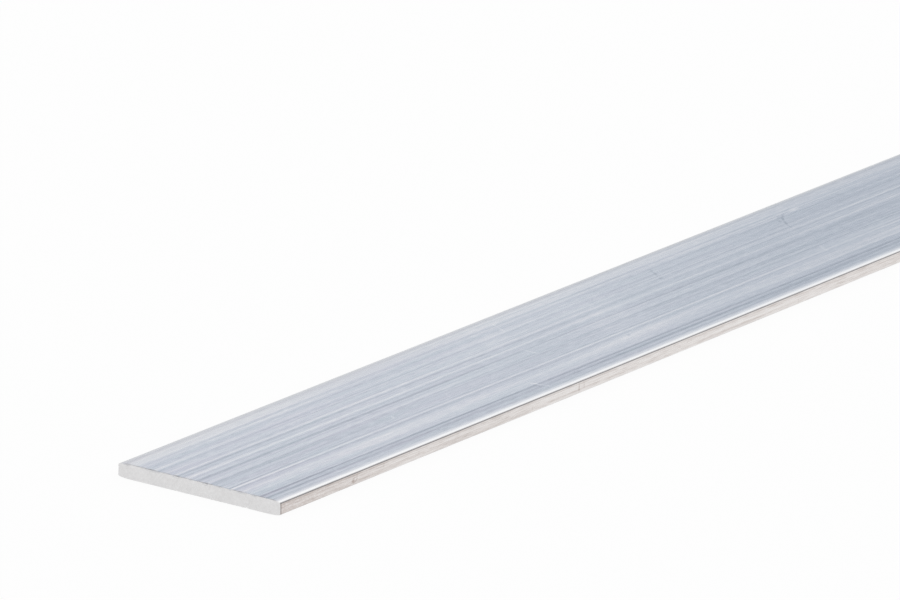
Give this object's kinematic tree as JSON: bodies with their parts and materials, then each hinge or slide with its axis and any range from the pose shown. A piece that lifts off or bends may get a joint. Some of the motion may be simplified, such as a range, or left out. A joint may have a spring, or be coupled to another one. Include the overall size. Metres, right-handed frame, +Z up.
{
  "type": "aluminium flat bar",
  "caption": "Extruded aluminium flat bar with softly rounded long edges, mill finish and square-sawn ends.",
  "frame": {"origin": "middle of the underside, on the surface that the bar lies on", "axes": "+X along the bar, +Y across its width, +Z up through its thickness"},
  "size_m": [1, 0.04, 0.003],
  "materials": {
    "mill_finish_aluminium": "mill finish with fine die lines along the bar, sawn ends left bare"
  },
  "bodies": {
    "root": {"flat_bar": "mill_finish_aluminium"}
  },
  "joints": []
}
